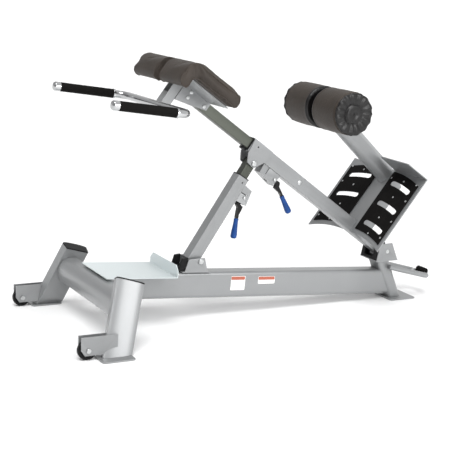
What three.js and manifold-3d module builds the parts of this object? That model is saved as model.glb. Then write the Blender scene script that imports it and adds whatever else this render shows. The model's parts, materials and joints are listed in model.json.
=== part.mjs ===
// Roman chair: an adjustable incline back-extension bench.
//
// Frame: millimetres, +Z up, +X towards the foot end, +Y to the user's right (the user lies face down, head
// towards -X). The drawing datum is the floor point under the rear post; the outer group moves the datum so
// that the origin lies on the floor under the middle of the machine.
import * as THREE from 'three';
import { mergeVertices } from 'three/addons/utils/BufferGeometryUtils.js';
import Module from 'manifold-3d';

const wasm = await Module();
wasm.setup();

// ---------------------------------------------------------------- driving dimensions
const GAP = 0.3; // between touching pieces
const DATUM_SHIFT = 687.6; // datum to the middle of the length
const RAD = Math.PI / 180;
const FAR = 3000; // size of cutting blocks

// arm and its rear hinge
const INCLINE = 35.6 * RAD;
const HINGE = { x: -75, z: 208 };
const ARM_SIZE = 54;
const ARM_WALL = 3;
const ARM_START = -12;
const ARM_END = 795;
const ARM_HALF = ARM_SIZE / 2;

// telescoping strut under the arm
const STRUT_PIVOT = { x: -929, z: 228 };
const STRUT_ANGLE = 56.75 * RAD;
const STRUT_SIZE = 50.8;
const STRUT_OFFSET = 20; // the tube's axis beside its lower pivot
const STRUT_START = -14;
const STRUT_END = 361.5;
const STRUT_WALL = 3;
const CLEVIS_PIN = { s: 743.5, n: -54 };
const CLEVIS_PIN_ALONG = 428.1; // lower pivot to clevis pin, along the strut

// sliding inner tubes
const INNER_WALL = 2.5;
const SEAT_TUBE = { size: 42, from: 480, to: 1165 };
const STRUT_INNER = { size: 38.1, from: 60 };

// base frame
const BEAM = { width: 74, height: 104, wall: 3, corner: 14, slopeDeg: 3.95, topAtMinus1100: 195.7 };
const POST = { inner: 97, outer: 105.6, side: 36, bulge: 8, wall: 3 };
const POST_AXIS = { footX: -1399.5, footY: 336, topX: -1320, topY: 245.7, topZ: 230.3 };
const CROSS = { height: 108, depth: 66, centreZ: 150, backX: -1322 };
const FOOT_PLATE = 5;
const WHEEL = { x: -1508.5, y: 352.4, radius: 35, width: 22, bore: 5.3 };
const BRACKET = { half: 16, plate: 4, front: -1535, back: -1400, top: 84, bottom: 17 };
const PLATFORM = { from: -1348, to: -1062, half: 126, sheet: 3, flange: 46, chamfer: 22 };
const REAR_POST = { depth: 56, width: 84, corner: 18, wall: 3, leanDeg: 23.2, footX: -7, topZ: 167.4 };
const REAR_BRACKET = { half: 60, plate: 5, floorZ: 167.7 };
const REAR_PIN = 8;

// foot plate, rollers, seat
const PLATE = { s: 190.6, tiltDeg: 2.2, half: 260, top: 288, bottom: -27, sheet: 4, lip: 99, lipOuter: 238 };
const SPINE = { half: 47.5, depth: 66, wall: 4, top: 284, low: -20 };
const MAT = { inner: 47.5, outer: 240.5, top: 278, bottom: -7, thick: 4, arcRadius: 610, arcCentre: 50 };
const SLOT = { inner: 72, outer: 218, width: 22, levels: [229, 132, 35] };
const ROLLER = { s: 589.2, n: 307.9, radius: 85, inner: 17.5, outer: 203.5, cap: 14, axle: 10 };
const ROLLER_POST = { height: 80, width: 58, wall: 3, riseDeg: 7.1, end: 92, lug: 24 };
const PAD = { inner: 17, outer: 212, rear: 1022, front: 1284, hook: 1234, top: 85.5, bottom: 25.3, toe: -29 };
const STEM = { from: 1169, to: 1207, half: 22, wall: 3, top: 20.4, webTop: -39, bottom: -106 };
const BAR = { s: 1206, n: -101, radius: 15, half: 287.4, corner: 46, length: 292, dropDeg: 7.5 };
const GRIP = { radius: 17.5, from: 57, to: 273 };

// latch on each telescoping joint: pin, lever, housing
const LATCH = {
  pivotX: -23, pivotZ: -25, pin: 5, half: 22, wall: 3, gripTurnDeg: -116.2, gripX: -79.9, gripZ: -29.4,
};
const HOLE_PITCH = 30;
const ARM_LATCH_AT = 643;
const STRUT_LATCH_AT = 321;

// ---------------------------------------------------------------- finishes
const finish = (color, roughness, metalness) => ({ color, roughness, metalness });
const SILVER = finish(0xb4b7b8, 0.42, 0.6);
const PALE = finish(0xe4ebe8, 0.5, 0.25);
const ZINC = finish(0x6d7067, 0.45, 0.7);
const CHROME = finish(0xd4d6d8, 0.14, 1.0);
const BOLT = finish(0xc4c6c6, 0.35, 0.9);
const BLACK = finish(0x161616, 0.6, 0.0);
const RUBBER = finish(0x121211, 0.85, 0.0);
const VINYL = finish(0x4d4945, 0.55, 0.0);
const BLUE = finish(0x1f4f9e, 0.45, 0.0);

// ---------------------------------------------------------------- helpers
const root = new THREE.Group();
const datum = new THREE.Group();
datum.position.x = DATUM_SHIFT;
root.add(datum);

const toSolid = (geometry) => {
  const plain = geometry.index ? geometry.toNonIndexed() : geometry.clone();
  plain.deleteAttribute('normal');
  plain.deleteAttribute('uv');
  const merged = mergeVertices(plain, 1e-4);
  return new wasm.Manifold(
    new wasm.Mesh({
      numProp: 3,
      vertProperties: new Float32Array(merged.attributes.position.array),
      triVerts: new Uint32Array(merged.index.array),
    }),
  );
};

const toGeometry = (solid) => {
  const mesh = solid.getMesh();
  const geometry = new THREE.BufferGeometry();
  geometry.setAttribute('position', new THREE.BufferAttribute(new Float32Array(mesh.vertProperties), 3));
  geometry.setIndex(new THREE.BufferAttribute(new Uint32Array(mesh.triVerts), 1));
  geometry.computeVertexNormals();
  return geometry;
};

const addNode = (parent, name, shape, look) => {
  const geometry = shape.isBufferGeometry ? shape : toGeometry(shape);
  const mesh = new THREE.Mesh(geometry, new THREE.MeshStandardMaterial(look));
  mesh.name = name;
  parent.add(mesh);
  return mesh;
};

const shapeOf = (points) => new THREE.Shape(points.map(([x, y]) => new THREE.Vector2(x, y)));

const extrude = (shape, depth, curveSegments = 8) =>
  new THREE.ExtrudeGeometry(shape, { depth, bevelEnabled: false, curveSegments });

// an outline in the X-Z plane made into a plate from yFrom to yTo
const plateXZ = (shape, yFrom, yTo, curveSegments = 8) =>
  extrude(shape, yTo - yFrom, curveSegments).rotateX(Math.PI / 2).translate(0, yTo, 0);

// an outline in the Y-Z plane made into a plate from xFrom to xTo
const plateYZ = (shape, xFrom, xTo, curveSegments = 8) =>
  extrude(shape, xTo - xFrom, curveSegments).applyMatrix4(
    new THREE.Matrix4().makeBasis(
      new THREE.Vector3(0, 1, 0), new THREE.Vector3(0, 0, 1), new THREE.Vector3(1, 0, 0),
    ),
  ).translate(xFrom, 0, 0);

const block = (x0, x1, y0, y1, z0, z1) =>
  new THREE.BoxGeometry(x1 - x0, y1 - y0, z1 - z0).translate((x0 + x1) / 2, (y0 + y1) / 2, (z0 + z1) / 2);

const rodAlongY = (radius, y0, y1, x = 0, z = 0, sides = 24) =>
  new THREE.CylinderGeometry(radius, radius, y1 - y0, sides).translate(x, (y0 + y1) / 2, z);

const rodAlongZ = (radius, z0, z1, x = 0, y = 0, sides = 24) =>
  new THREE.CylinderGeometry(radius, radius, z1 - z0, sides)
    .rotateX(Math.PI / 2).translate(x, y, (z0 + z1) / 2);

// a lathe whose profile is [radius, height] pairs and whose axis lies along Y
const turnedAlongY = (profile, sides = 24) =>
  new THREE.LatheGeometry(profile.map(([r, y]) => new THREE.Vector2(r, y)), sides);

const union = (...parts) => parts.map(toSolid).reduce((sum, part) => sum.add(part));
const cut = (base, ...tools) =>
  tools.reduce((rest, tool) => rest.subtract(toSolid(tool)), base.isBufferGeometry ? toSolid(base) : base);

const roundedRectangle = (width, height, radius) => {
  const shape = new THREE.Shape();
  const w = width / 2;
  const h = height / 2;
  shape.moveTo(-w + radius, -h);
  shape.lineTo(w - radius, -h);
  shape.absarc(w - radius, -h + radius, radius, -Math.PI / 2, 0);
  shape.lineTo(w, h - radius);
  shape.absarc(w - radius, h - radius, radius, 0, Math.PI / 2);
  shape.lineTo(-w + radius, h);
  shape.absarc(-w + radius, h - radius, radius, Math.PI / 2, Math.PI);
  shape.lineTo(-w, -h + radius);
  shape.absarc(-w + radius, -h + radius, radius, Math.PI, 1.5 * Math.PI);
  return shape;
};

// flat on one side (y = 0), bowed on the other
const dSection = (width, depth) => {
  const w = width / 2;
  const side = depth * 0.42;
  const shape = new THREE.Shape();
  shape.moveTo(-w, 0);
  shape.lineTo(w, 0);
  shape.lineTo(w, side);
  shape.absellipse(0, side, w, depth - side, 0, Math.PI);
  return shape;
};

const hollowed = (outer, inner, divisions) => {
  outer.holes.push(new THREE.Path(inner.getPoints(divisions)));
  return outer;
};

const dTubeSection = (width, depth, wall) => {
  const bore = dSection(width - 2 * wall, depth - 2 * wall);
  const path = bore.getPoints(6).map((p) => new THREE.Vector2(p.x, p.y + wall));
  const section = dSection(width, depth);
  section.holes.push(new THREE.Path(path));
  return section;
};

// square tube along X, centred on Y = 0 and Z = zMid
const squareTube = (size, wall, from, to, zMid = 0) => {
  const bore = size - 2 * wall;
  const section = hollowed(roundedRectangle(size, size, 4), roundedRectangle(bore, bore, 1.5), 1);
  return plateYZ(section, from, to, 1).translate(0, 0, zMid);
};

// hexagon-headed bolt across Y with a nut on the other side; head at -Y
const crossBolt = (shank, half) => {
  const head = shank * 1.75;
  const profile = [[0, -half - 7], [head * 0.8, -half - 7], [head, -half - 5], [head, -half], [shank, -half]];
  const nut = [[shank, half], [head, half], [head, half + 6], [shank * 0.9, half + 7], [0, half + 7]];
  return turnedAlongY([...profile, ...nut], 18);
};

// a path through given points, with one cross-section at each of them
class StationPath extends THREE.Curve {
  constructor(stations) {
    super();
    this.stations = stations;
  }

  getPoint(t, target = new THREE.Vector3()) {
    const at = t * (this.stations.length - 1);
    const index = Math.min(Math.floor(at), this.stations.length - 2);
    return target.lerpVectors(this.stations[index], this.stations[index + 1], at - index);
  }

  getUtoTmapping(u) {
    return u;
  }
}

// a round bar bent to a U in the X-Y plane: legs from x = open to x = closed, joined across Y
const bentBar = (open, closed, half, bend, radius, sides) => {
  const inward = Math.sign(open - closed);
  const corner = (side) =>
    Array.from({ length: 7 }, (_, i) => {
      const angle = (i * Math.PI) / 12;
      return new THREE.Vector3(
        closed + inward * bend * (1 - Math.sin(angle)), side * (half - bend * (1 - Math.cos(angle))), 0,
      );
    });
  const stations = [
    new THREE.Vector3(open, -half, 0),
    ...corner(-1),
    ...corner(1).reverse(),
    new THREE.Vector3(open, half, 0),
  ];
  const circle = Array.from({ length: sides }, (_, i) => {
    const angle = (i * 2 * Math.PI) / sides;
    return new THREE.Vector2(radius * Math.cos(angle), radius * Math.sin(angle));
  });
  return new THREE.ExtrudeGeometry(new THREE.Shape(circle), {
    steps: stations.length - 1, bevelEnabled: false, extrudePath: new StationPath(stations),
  });
};

// ---------------------------------------------------------------- base: front posts and feet
const beamTop = (x) => BEAM.topAtMinus1100 - Math.tan(BEAM.slopeDeg * RAD) * (x + 1100);

// side: -1 is the user's left (near -Y), +1 the right
const postMatrix = (side) => {
  const { footX, footY, topX, topY, topZ } = POST_AXIS;
  const along = new THREE.Vector3(topX - footX, side * (topY - footY), topZ).normalize();
  const out = new THREE.Vector3(0, side * along.z, Math.abs(along.y)).normalize();
  const across = new THREE.Vector3().crossVectors(out, along);
  return new THREE.Matrix4().makeBasis(across, out, along)
    .setPosition(footX, side * footY, 0);
};

const postLength = Math.hypot(
  POST_AXIS.topX - POST_AXIS.footX, POST_AXIS.topY - POST_AXIS.footY, POST_AXIS.topZ,
);

// flat towards the machine, sides flaring out to a crease, then a slightly bowed outer face;
// grow widens it all round
const postSection = (grow) => {
  const inner = POST.inner / 2 + grow;
  const outer = POST.outer / 2 + grow;
  const shape = new THREE.Shape();
  shape.moveTo(-inner, -grow);
  shape.lineTo(inner, -grow);
  shape.lineTo(outer, POST.side);
  shape.quadraticCurveTo(outer * 0.85, POST.side + POST.bulge + grow, 0, POST.side + POST.bulge + grow);
  shape.quadraticCurveTo(-outer * 0.85, POST.side + POST.bulge + grow, -outer, POST.side);
  return shape;
};

const postPrism = (side, section, from, to) =>
  extrude(section, to - from, 6).translate(0, 0, from).applyMatrix4(postMatrix(side));

const addFrontPost = (group, side, label) => {
  const section = hollowed(postSection(0), postSection(-POST.wall), 6);
  const tube = toSolid(postPrism(side, section, -60, postLength));
  const floor = block(-FAR, FAR, -FAR, FAR, -FAR, FOOT_PLATE + GAP);
  addNode(group, `front_post_${label}`, cut(tube, floor), SILVER);

  const lid = postPrism(side, postSection(0), postLength + GAP, postLength + 5);
  const plug = postPrism(side, postSection(-POST.wall - 0.8), postLength - 16, postLength + 2);
  addNode(group, `front_post_cap_${label}`, union(lid, plug), BLACK);

  const foot = roundedRectangle(124, 102, 14);
  const plate = extrude(foot, FOOT_PLATE, 2).translate(POST_AXIS.footX - 12.5, side * 369, 0);
  addNode(group, `front_foot_plate_${label}`, plate, SILVER);
};

const addCrossTube = (group) => {
  const section = dTubeSection(CROSS.height, CROSS.depth, POST.wall);
  const tube = toSolid(
    extrude(section, 2 * POST_AXIS.footY, 6).applyMatrix4(
      new THREE.Matrix4().makeBasis(
        new THREE.Vector3(0, 0, 1), new THREE.Vector3(-1, 0, 0), new THREE.Vector3(0, -1, 0),
      ),
    ).translate(CROSS.backX, POST_AXIS.footY, CROSS.centreZ),
  );
  const outside = (side) =>
    block(-FAR, FAR, -GAP, FAR, -FAR, FAR).applyMatrix4(postMatrix(side));
  addNode(group, 'front_cross_tube', cut(tube, outside(-1), outside(1)), SILVER);
};

const addWheelSet = (group, side, label) => {
  const y = side * WHEEL.y;
  const { half: gripHalf, plate, front, back, top, bottom } = BRACKET;
  const cheek = shapeOf([
    [front + 14, bottom], [back, bottom], [back, top], [front, top], [front, bottom + 20],
  ]);
  const outer = plateXZ(cheek, y + gripHalf - plate, y + gripHalf);
  const inner = plateXZ(cheek, y - gripHalf, y - gripHalf + plate);
  const postSkin = toSolid(postPrism(side, postSection(plate), -60, postLength));
  const fill = toSolid(block(front, back, y - gripHalf + 1, y + gripHalf - 1, bottom, top));
  const web = fill.intersect(postSkin);
  const bore = rodAlongY(WHEEL.bore, y - 60, y + 60, WHEEL.x, WHEEL.radius);
  const postSpace = postPrism(side, postSection(GAP), -60, postLength);
  const behindPost = postPrism(side, postSection(GAP), -60, postLength).translate(60, 0, 0);
  const bracket = cut(union(outer, inner).add(web), bore, postSpace, behindPost);
  addNode(group, `wheel_bracket_${label}`, bracket, SILVER);

  const axle = crossBolt(WHEEL.bore - GAP, gripHalf + GAP);
  if (side > 0) axle.rotateX(Math.PI);
  addNode(group, `wheel_axle_${label}`, axle.translate(WHEEL.x, y, WHEEL.radius), BOLT);

  const half = WHEEL.width / 2;
  const r = WHEEL.radius;
  const tread = [
    [WHEEL.bore, -half], [12, -half], [13, -half + 3], [r - 12, -half + 3], [r - 10, -half], [r - 4, -half],
    [r, -half + 4], [r, half - 4], [r - 4, half], [r - 10, half], [r - 12, half - 3], [13, half - 3],
    [12, half], [WHEEL.bore, half], [WHEEL.bore, -half],
  ];
  addNode(group, `front_wheel_${label}`, turnedAlongY(tread, 28).translate(WHEEL.x, y, r), BLACK);
};

// ---------------------------------------------------------------- base: beam, platform, rear post
const rearPostMatrix = () => {
  const lean = REAR_POST.leanDeg * RAD;
  const across = new THREE.Vector3(Math.cos(lean), 0, Math.sin(lean));
  const up = new THREE.Vector3(-Math.sin(lean), 0, Math.cos(lean));
  return new THREE.Matrix4().makeBasis(across, new THREE.Vector3(0, 1, 0), up)
    .setPosition(REAR_POST.footX, 0, 0);
};

const rearPostPrism = (section) =>
  extrude(section, 300, 3).translate(0, 0, -60).applyMatrix4(rearPostMatrix());

const addBeam = (group) => {
  const section = hollowed(
    roundedRectangle(BEAM.width, BEAM.height, BEAM.corner),
    roundedRectangle(BEAM.width - 2 * BEAM.wall, BEAM.height - 2 * BEAM.wall, BEAM.corner - BEAM.wall),
    3,
  );
  const slope = BEAM.slopeDeg * RAD;
  const tube = extrude(section, 1500, 3).applyMatrix4(
    new THREE.Matrix4().makeBasis(
      new THREE.Vector3(0, 1, 0),
      new THREE.Vector3(Math.sin(slope), 0, Math.cos(slope)),
      new THREE.Vector3(Math.cos(slope), 0, -Math.sin(slope)),
    ),
  ).translate(-1450, 0, beamTop(-1450) - BEAM.height / 2 / Math.cos(slope));
  const ahead = block(-FAR, CROSS.backX + GAP, -FAR, FAR, -FAR, FAR);
  const behind = block(0, FAR, -FAR, FAR, -FAR, FAR).applyMatrix4(rearPostMatrix());
  const postSpace = rearPostPrism(
    roundedRectangle(REAR_POST.depth + 2 * GAP, REAR_POST.width + 2 * GAP, REAR_POST.corner + GAP),
  );
  addNode(group, 'main_beam', cut(tube, ahead, behind, postSpace), SILVER);
};

const addPlatform = (group) => {
  const tilted = new THREE.Group();
  tilted.position.set(PLATFORM.to, 0, beamTop(PLATFORM.to) + GAP);
  tilted.rotation.y = BEAM.slopeDeg * RAD;
  group.add(tilted);
  const length = PLATFORM.to - PLATFORM.from;
  const top = block(-length, 0, -PLATFORM.half, PLATFORM.half, 0, PLATFORM.sheet);
  const h = PLATFORM.half;
  const flange = plateYZ(
    shapeOf([
      [-h, 0], [h, 0], [h, PLATFORM.flange - PLATFORM.chamfer], [h - PLATFORM.chamfer, PLATFORM.flange],
      [-h + PLATFORM.chamfer, PLATFORM.flange], [-h, PLATFORM.flange - PLATFORM.chamfer],
    ]),
    -PLATFORM.sheet, 0,
  );
  addNode(tilted, 'platform_plate', union(top, flange), PALE);
};

const addStrutBase = (group) => {
  const { x, z } = STRUT_PIVOT;
  const floorZ = beamTop(-945) + GAP;
  const ear = shapeOf([[-996, floorZ + 3], [-979, 239], [-911, 241], [-897, floorZ - 3]]);
  const slope = BEAM.slopeDeg * RAD;
  const plate = block(-60, 60, -45, 45, 0, 4).rotateY(slope).translate(-945, 0, floorZ);
  const underBeam = block(-FAR, FAR, -FAR, FAR, -FAR, 0).rotateY(slope).translate(-945, 0, floorZ);
  const ears = union(plateXZ(ear, -45, -40), plateXZ(ear, 40, 45), plate);
  const bore = rodAlongY(6.3, -60, 60, x, z);
  addNode(group, 'strut_base_bracket', cut(ears, bore, underBeam), SILVER);
  addNode(group, 'strut_pivot_bolt', crossBolt(6, 45 + GAP).translate(x, 0, z), BOLT);
};

const addRearPost = (group) => {
  const { depth, width, corner, wall } = REAR_POST;
  const section = hollowed(
    roundedRectangle(depth, width, corner),
    roundedRectangle(depth - 2 * wall, width - 2 * wall, corner - wall),
    3,
  );
  const floor = block(-FAR, FAR, -FAR, FAR, -FAR, FOOT_PLATE + GAP);
  const above = block(-FAR, FAR, -FAR, FAR, REAR_POST.topZ, FAR);
  addNode(group, 'rear_post', cut(rearPostPrism(section), floor, above), SILVER);
  const foot = extrude(roundedRectangle(124, 156, 10), FOOT_PLATE, 2).translate(8, 0, 0);
  addNode(group, 'rear_foot_plate', foot, SILVER);
};

const addRearBracket = (group) => {
  const { half, plate, floorZ } = REAR_BRACKET;
  const ear = shapeOf([[-128, floorZ], [-112.5, 240.5], [-54, 242.5], [-22, floorZ]]);
  const floor = block(-128, -22, -half, half, floorZ, floorZ + plate);
  const ears = union(plateXZ(ear, -half, -half + plate), plateXZ(ear, half - plate, half), floor);
  const bore = rodAlongY(REAR_PIN + GAP, -FAR, FAR, HINGE.x, HINGE.z);
  addNode(group, 'rear_bracket', cut(ears, bore), SILVER);
  addNode(group, 'rear_pivot_pin', rodAlongY(REAR_PIN, -half, half, HINGE.x, HINGE.z), BOLT);

  const inside = half - plate - GAP;
  const low = floorZ + plate + GAP;
  const towers = shapeOf([[-131, low], [-115, 246], [-86, 249], [-104, low]]);
  const notch = block(-200, 0, -ARM_HALF - 2.5, ARM_HALF + 2.5, 185, 300);
  const pinSpace = rodAlongY(REAR_PIN + 2, -FAR, FAR, HINGE.x, HINGE.z);
  addNode(group, 'rear_hinge_cover', cut(plateXZ(towers, -inside, inside), notch, pinSpace), BLACK);
};

// lifting loop behind the rear post: two legs, a bar across, and a moulded grip on the bar
const addRearHandle = (group) => {
  const radius = 11;
  const legY = REAR_POST.width / 2 + radius + GAP;
  const slope = 15.4 * RAD;
  const loop = new THREE.Group();
  loop.position.set(-58, 0, 140.5);
  loop.rotation.y = slope;
  group.add(loop);
  const reach = 213;
  const bend = 24;
  addNode(loop, 'rear_handle_loop', bentBar(0, reach, legY, bend, radius, 14), SILVER);

  const gripHalf = legY - bend - 4;
  const grip = roundedRectangle(28, 42, 13.9);
  const outline = plateXZ(grip, -gripHalf, gripHalf, 6).translate(reach, 0, 7);
  const bore = rodAlongY(radius + GAP, -FAR, FAR, reach, 0);
  addNode(loop, 'rear_handle_grip', cut(outline, bore), RUBBER);
};

// ---------------------------------------------------------------- latch: housing, lever, pin
// Drawn with the lock pin on x = 0, the outer tube's surface on z = 0 and the housing hanging to -Z.
// clearance is the height from that surface to the inner tube; the pin is drawn just short of it.
const addLatch = (parent, name, { at, surface, leverEnd, ahead, clearance }) => {
  const place = () => {
    const spot = new THREE.Group();
    spot.position.set(at, 0, surface);
    parent.add(spot);
    return spot;
  };
  const { half, wall, pivotX, pivotZ, pin } = LATCH;
  const outline = shapeOf([[leverEnd, -GAP], [leverEnd + 4, -49], [ahead - 4, -38], [ahead, -GAP]]);
  const hollow = shapeOf([
    [leverEnd - 20, 20], [leverEnd - 20, -46], [leverEnd + 4, -46], [ahead - 4 - wall, -35],
    [ahead - wall, 20],
  ]);
  const housing = cut(
    plateXZ(outline, -half, half),
    plateXZ(hollow, -half + wall, half - wall),
    rodAlongY(4.3, -60, 60, pivotX, pivotZ),
    block(ahead - 32, ahead - 29, -60, 60, -30, 20),
    rodAlongZ(9.5, -60, 60),
  );
  addNode(place(), `${name}_lock_housing`, housing, SILVER);

  // the lever turns about its trunnion; a fork straddles the pin and draws it out
  const lever = place();
  lever.position.x += pivotX;
  lever.position.z += pivotZ;
  const blade = shapeOf([
    [26, -5.7], [6, -7], [-27, -8], [-30, -23], [-42, -25], [-62, -26], [-77.1, -32.8],
    [-80.9, -25.2], [-60, -15], [-44, -8], [-36, 7], [6, 6], [26, 1.5],
  ]);
  const bar = plateXZ(blade, -9, 9);
  const fork = block(23 - pin - 2.2, 40, -pin - 1.2, pin + 1.2, -40, 40);
  const trunnion = rodAlongY(4, -half - 3, half + 3);
  const alongGrip = (geometry) => geometry
    .rotateY(LATCH.gripTurnDeg * RAD).translate(LATCH.gripX, 0, LATCH.gripZ);
  const tang = alongGrip(rodAlongZ(4, -8, 66, 0, 0, 12));
  addNode(lever, `${name}_lever`, union(bar, trunnion, tang).subtract(toSolid(fork)), BLACK);

  const handle = turnedAlongY([
    [4.3, 0], [8.5, 0], [9.5, 3], [9, 14], [10.5, 38], [12.5, 62], [12.5, 74], [9, 79],
    [0, 80], [0, 68], [4.3, 68], [4.3, 0],
  ], 20).rotateX(Math.PI / 2);
  addNode(lever, `${name}_lever_grip`, alongGrip(handle), BLUE);

  const tip = clearance - GAP;
  const lockPin = turnedAlongY([
    [0, -34.5], [8, -34.5], [8, -31.5], [pin, -31.5], [pin, tip - 2], [pin - 1.5, tip], [0, tip],
  ], 18).rotateX(Math.PI / 2);
  addNode(place(), `${name}_lock_pin`, lockPin, BOLT);
};

// ---------------------------------------------------------------- arm
const arm = new THREE.Group();
arm.position.set(HINGE.x, 0, HINGE.z);
arm.rotation.set(0, INCLINE, Math.PI); // local x runs up the arm, z away from the floor, y to the user's left

// a row of lock holes through the lower wall of an inner tube
const lockHoles = (innerSize, first, last, zMid) => {
  const count = Math.floor((last - first) / HOLE_PITCH) + 1;
  return Array.from({ length: count }, (_, i) =>
    rodAlongZ(LATCH.pin + 0.6, zMid - innerSize, zMid, first + i * HOLE_PITCH, 0, 12));
};

const addArmTube = () => {
  const tube = squareTube(ARM_SIZE, ARM_WALL, ARM_START, ARM_END);
  const rearBore = rodAlongY(REAR_PIN + GAP, -FAR, FAR);
  const lockBore = rodAlongZ(LATCH.pin + 1, -FAR, 0, ARM_LATCH_AT);
  const dowel = rodAlongY(3.5, 0, FAR, 766, 7, 16);
  addNode(arm, 'arm_tube', cut(tube, rearBore, lockBore, dowel), SILVER);
};

// plastic guide in the mouth of a square tube: a flange outside, a sleeve inside
const bush = (outer, wall, innerSize, mouth, zMid) => {
  const bore = innerSize + 2 * GAP;
  const sleeveSize = outer - 2 * wall - 2 * GAP;
  const flange = hollowed(roundedRectangle(outer, outer, 4), roundedRectangle(bore, bore, 1), 1);
  const sleeve = hollowed(roundedRectangle(sleeveSize, sleeveSize, 1.5), roundedRectangle(bore, bore, 1), 1);
  const lay = (shape, from, to) => plateYZ(shape, from, to, 1).translate(0, 0, zMid);
  return { flange: lay(flange, mouth + GAP, mouth + 4), sleeve: lay(sleeve, mouth - 45, mouth + 1) };
};

const addArmBush = () => {
  const parts = bush(ARM_SIZE, ARM_WALL, SEAT_TUBE.size, ARM_END, 0);
  const tongue = block(ARM_END + 1, ARM_END + 18, -15, 15, -ARM_HALF - 5, -SEAT_TUBE.size / 2 - 1.5);
  addNode(arm, 'arm_bush', union(parts.flange, parts.sleeve, tongue), BLACK);
};

const addClevis = () => {
  const ear = shapeOf([
    [698, 27], [698, -13], [729, -64], [737, -69], [768, -66], [789, -34], [797, 27],
  ]);
  const inside = ARM_HALF + GAP;
  const outside = inside + 5;
  const web = block(711, 722, -inside - 1, inside + 1, -inside - 4, -inside);
  const bore = rodAlongY(6.3, -60, 60, CLEVIS_PIN.s, CLEVIS_PIN.n);
  const dowel = rodAlongY(3.5, 0, FAR, 766, 7, 16);
  const ears = union(plateXZ(ear, -outside, -inside), plateXZ(ear, inside, outside), web);
  addNode(arm, 'arm_clevis', cut(ears, bore, dowel), SILVER);
  const bolt = crossBolt(6, outside + GAP).rotateX(Math.PI);
  addNode(arm, 'clevis_bolt', bolt.translate(CLEVIS_PIN.s, 0, CLEVIS_PIN.n), BOLT);
};

// foot plate: a slotted sheet across the arm, a forward lip on top of one wing, a rubber mat on each wing
const plateGroup = new THREE.Group();
plateGroup.position.set(PLATE.s, 0, 0);
plateGroup.rotation.y = -PLATE.tiltDeg * RAD;
arm.add(plateGroup);

const arcDrop = (y) => MAT.arcRadius - Math.sqrt(MAT.arcRadius ** 2 - (y - MAT.arcCentre) ** 2);

// points along an arched line at the given level, from y = from to y = to
const archPoints = (level, from, to, count) =>
  Array.from({ length: count + 1 }, (_, i) => {
    const y = from + ((to - from) * i) / count;
    return [y, level - arcDrop(y)];
  });

const slotOutline = (level, grow) => {
  const r = SLOT.width / 2 + grow;
  const upper = archPoints(level + r, SLOT.inner + r, SLOT.outer - r, 6);
  const lower = archPoints(level - r, SLOT.outer - r, SLOT.inner + r, 6);
  const endCap = (y, fromDeg, toDeg) =>
    [0.25, 0.5, 0.75].map((t) => {
      const angle = (fromDeg + (toDeg - fromDeg) * t) * RAD;
      return [y + r * Math.cos(angle), level - arcDrop(y) + r * Math.sin(angle)];
    });
  const outerEnd = endCap(SLOT.outer - r, 90, -90);
  const innerEnd = endCap(SLOT.inner + r, 270, 90);
  return shapeOf([...upper, ...outerEnd, ...lower, ...innerEnd]);
};

const mirrorY = (shape) => shapeOf(shape.getPoints().map((p) => [-p.x, p.y]).reverse());
const onSide = (shape, side) => (side > 0 ? shape : mirrorY(shape));

const addFootPlate = () => {
  const { half, top, bottom, sheet, lip, lipOuter } = PLATE;
  const lower = archPoints(bottom, MAT.inner, half, 8);
  const face = shapeOf([
    ...lower.map(([y, z]) => [-y, z]).reverse(), ...lower, [half, top], [-half, top],
  ]);
  const throat = ARM_HALF + GAP;
  const notch = block(-50, 50, -throat, throat, -FAR, throat + 0.5);
  // the lip is on the user's left wing alone
  const lipOutline = shapeOf([[-sheet, 44], [-sheet, half], [0, half], [lip, lipOuter], [lip, 44]].reverse());
  const lipPlate = extrude(lipOutline, sheet).translate(0, 0, top - sheet);
  const slots = [-1, 1].flatMap((side) =>
    SLOT.levels.map((level) => plateYZ(onSide(slotOutline(level, 1), side), -50, 50)));
  const sheetMetal = union(plateYZ(face, -sheet, 0), lipPlate);
  addNode(plateGroup, 'footplate_frame', cut(sheetMetal, notch, ...slots), SILVER);
};

const addFootMat = (side, label) => {
  const top = archPoints(MAT.top, MAT.inner, MAT.outer, 8);
  const bottom = archPoints(MAT.bottom, MAT.outer, MAT.inner, 8);
  const outline = shapeOf([...top, ...bottom].reverse());
  const slots = SLOT.levels.map((level) => plateYZ(onSide(slotOutline(level, 0), side), -50, 50));
  const mat = plateYZ(onSide(outline, side), GAP, MAT.thick);
  addNode(plateGroup, `foot_mat_${label}`, cut(mat, ...slots), RUBBER);
};

// channel behind the foot plate that straddles the arm
const addSpine = () => {
  const { half, depth, wall, top, low } = SPINE;
  const front = -PLATE.sheet - GAP;
  const armTop = ARM_HALF + 3;
  const web = block(front - wall, front, -half, half, armTop, top);
  const shelf = block(front - depth, front, -half, half, armTop, armTop + wall);
  const wallShape = shapeOf([[front - depth, low], [front, low], [front, top], [front - depth, top - 34]]);
  const walls = [plateXZ(wallShape, -half, -half + wall), plateXZ(wallShape, half - wall, half)];
  addNode(plateGroup, 'footplate_spine', union(web, shelf, ...walls), SILVER);
};

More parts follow.
